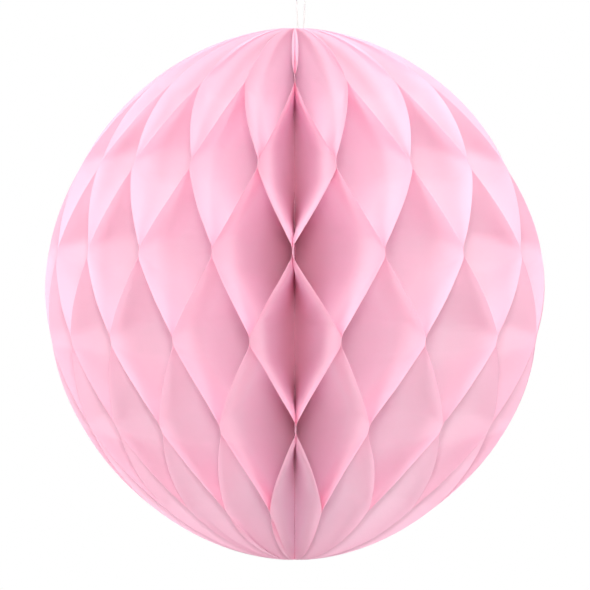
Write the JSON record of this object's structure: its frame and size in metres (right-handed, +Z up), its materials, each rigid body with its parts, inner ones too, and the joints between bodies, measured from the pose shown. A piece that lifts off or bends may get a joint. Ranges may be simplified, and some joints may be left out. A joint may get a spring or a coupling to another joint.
{
  "type": "honeycomb paper ball",
  "caption": "Round honeycomb ball of glued half-round tissue leaves with diamond cells, closed by two card covers back to back and hung on a looped thread.",
  "frame": {"origin": "centre of the ball, halfway between its poles and between its sides, without the thread", "axes": "+Z up along the ball's own axis towards the hanging thread, +Y towards the two covers that stand back to back, +X across the covers"},
  "size_m": [0.1876, 0.1878, 0.2451],
  "materials": {
    "tissue": "soft matt pink tissue paper, slightly see-through, with faint fibres",
    "card": "plain white card",
    "pad": "double-sided sticky paper tape",
    "binding": "rolled pink paper strip set in glue",
    "thread": "white cotton thread"
  },
  "bodies": {
    "root": {"leaf_01": "tissue", "leaf_02": "tissue", "leaf_03": "tissue", "leaf_04": "tissue", "leaf_05": "tissue", "leaf_06": "tissue", "leaf_07": "tissue", "leaf_08": "tissue", "leaf_09": "tissue", "leaf_10": "tissue", "leaf_11": "tissue", "leaf_12": "tissue", "leaf_13": "tissue", "leaf_14": "tissue", "leaf_15": "tissue", "leaf_16": "tissue", "leaf_17": "tissue", "leaf_18": "tissue", "leaf_19": "tissue", "leaf_20": "tissue", "leaf_21": "tissue", "leaf_22": "tissue", "leaf_23": "tissue", "leaf_24": "tissue", "leaf_25": "tissue", "leaf_26": "tissue", "leaf_27": "tissue", "leaf_28": "tissue", "leaf_29": "tissue", "leaf_30": "tissue", "leaf_31": "tissue", "leaf_32": "tissue", "leaf_33": "tissue", "leaf_34": "tissue", "leaf_35": "tissue", "leaf_36": "tissue", "cover_right": "card", "cover_left": "card", "closing_pad_top": "pad", "closing_pad_middle": "pad", "closing_pad_bottom": "pad", "spine_binding": "binding", "hanging_thread": "thread", "thread_knot": "thread"}
  },
  "joints": []
}
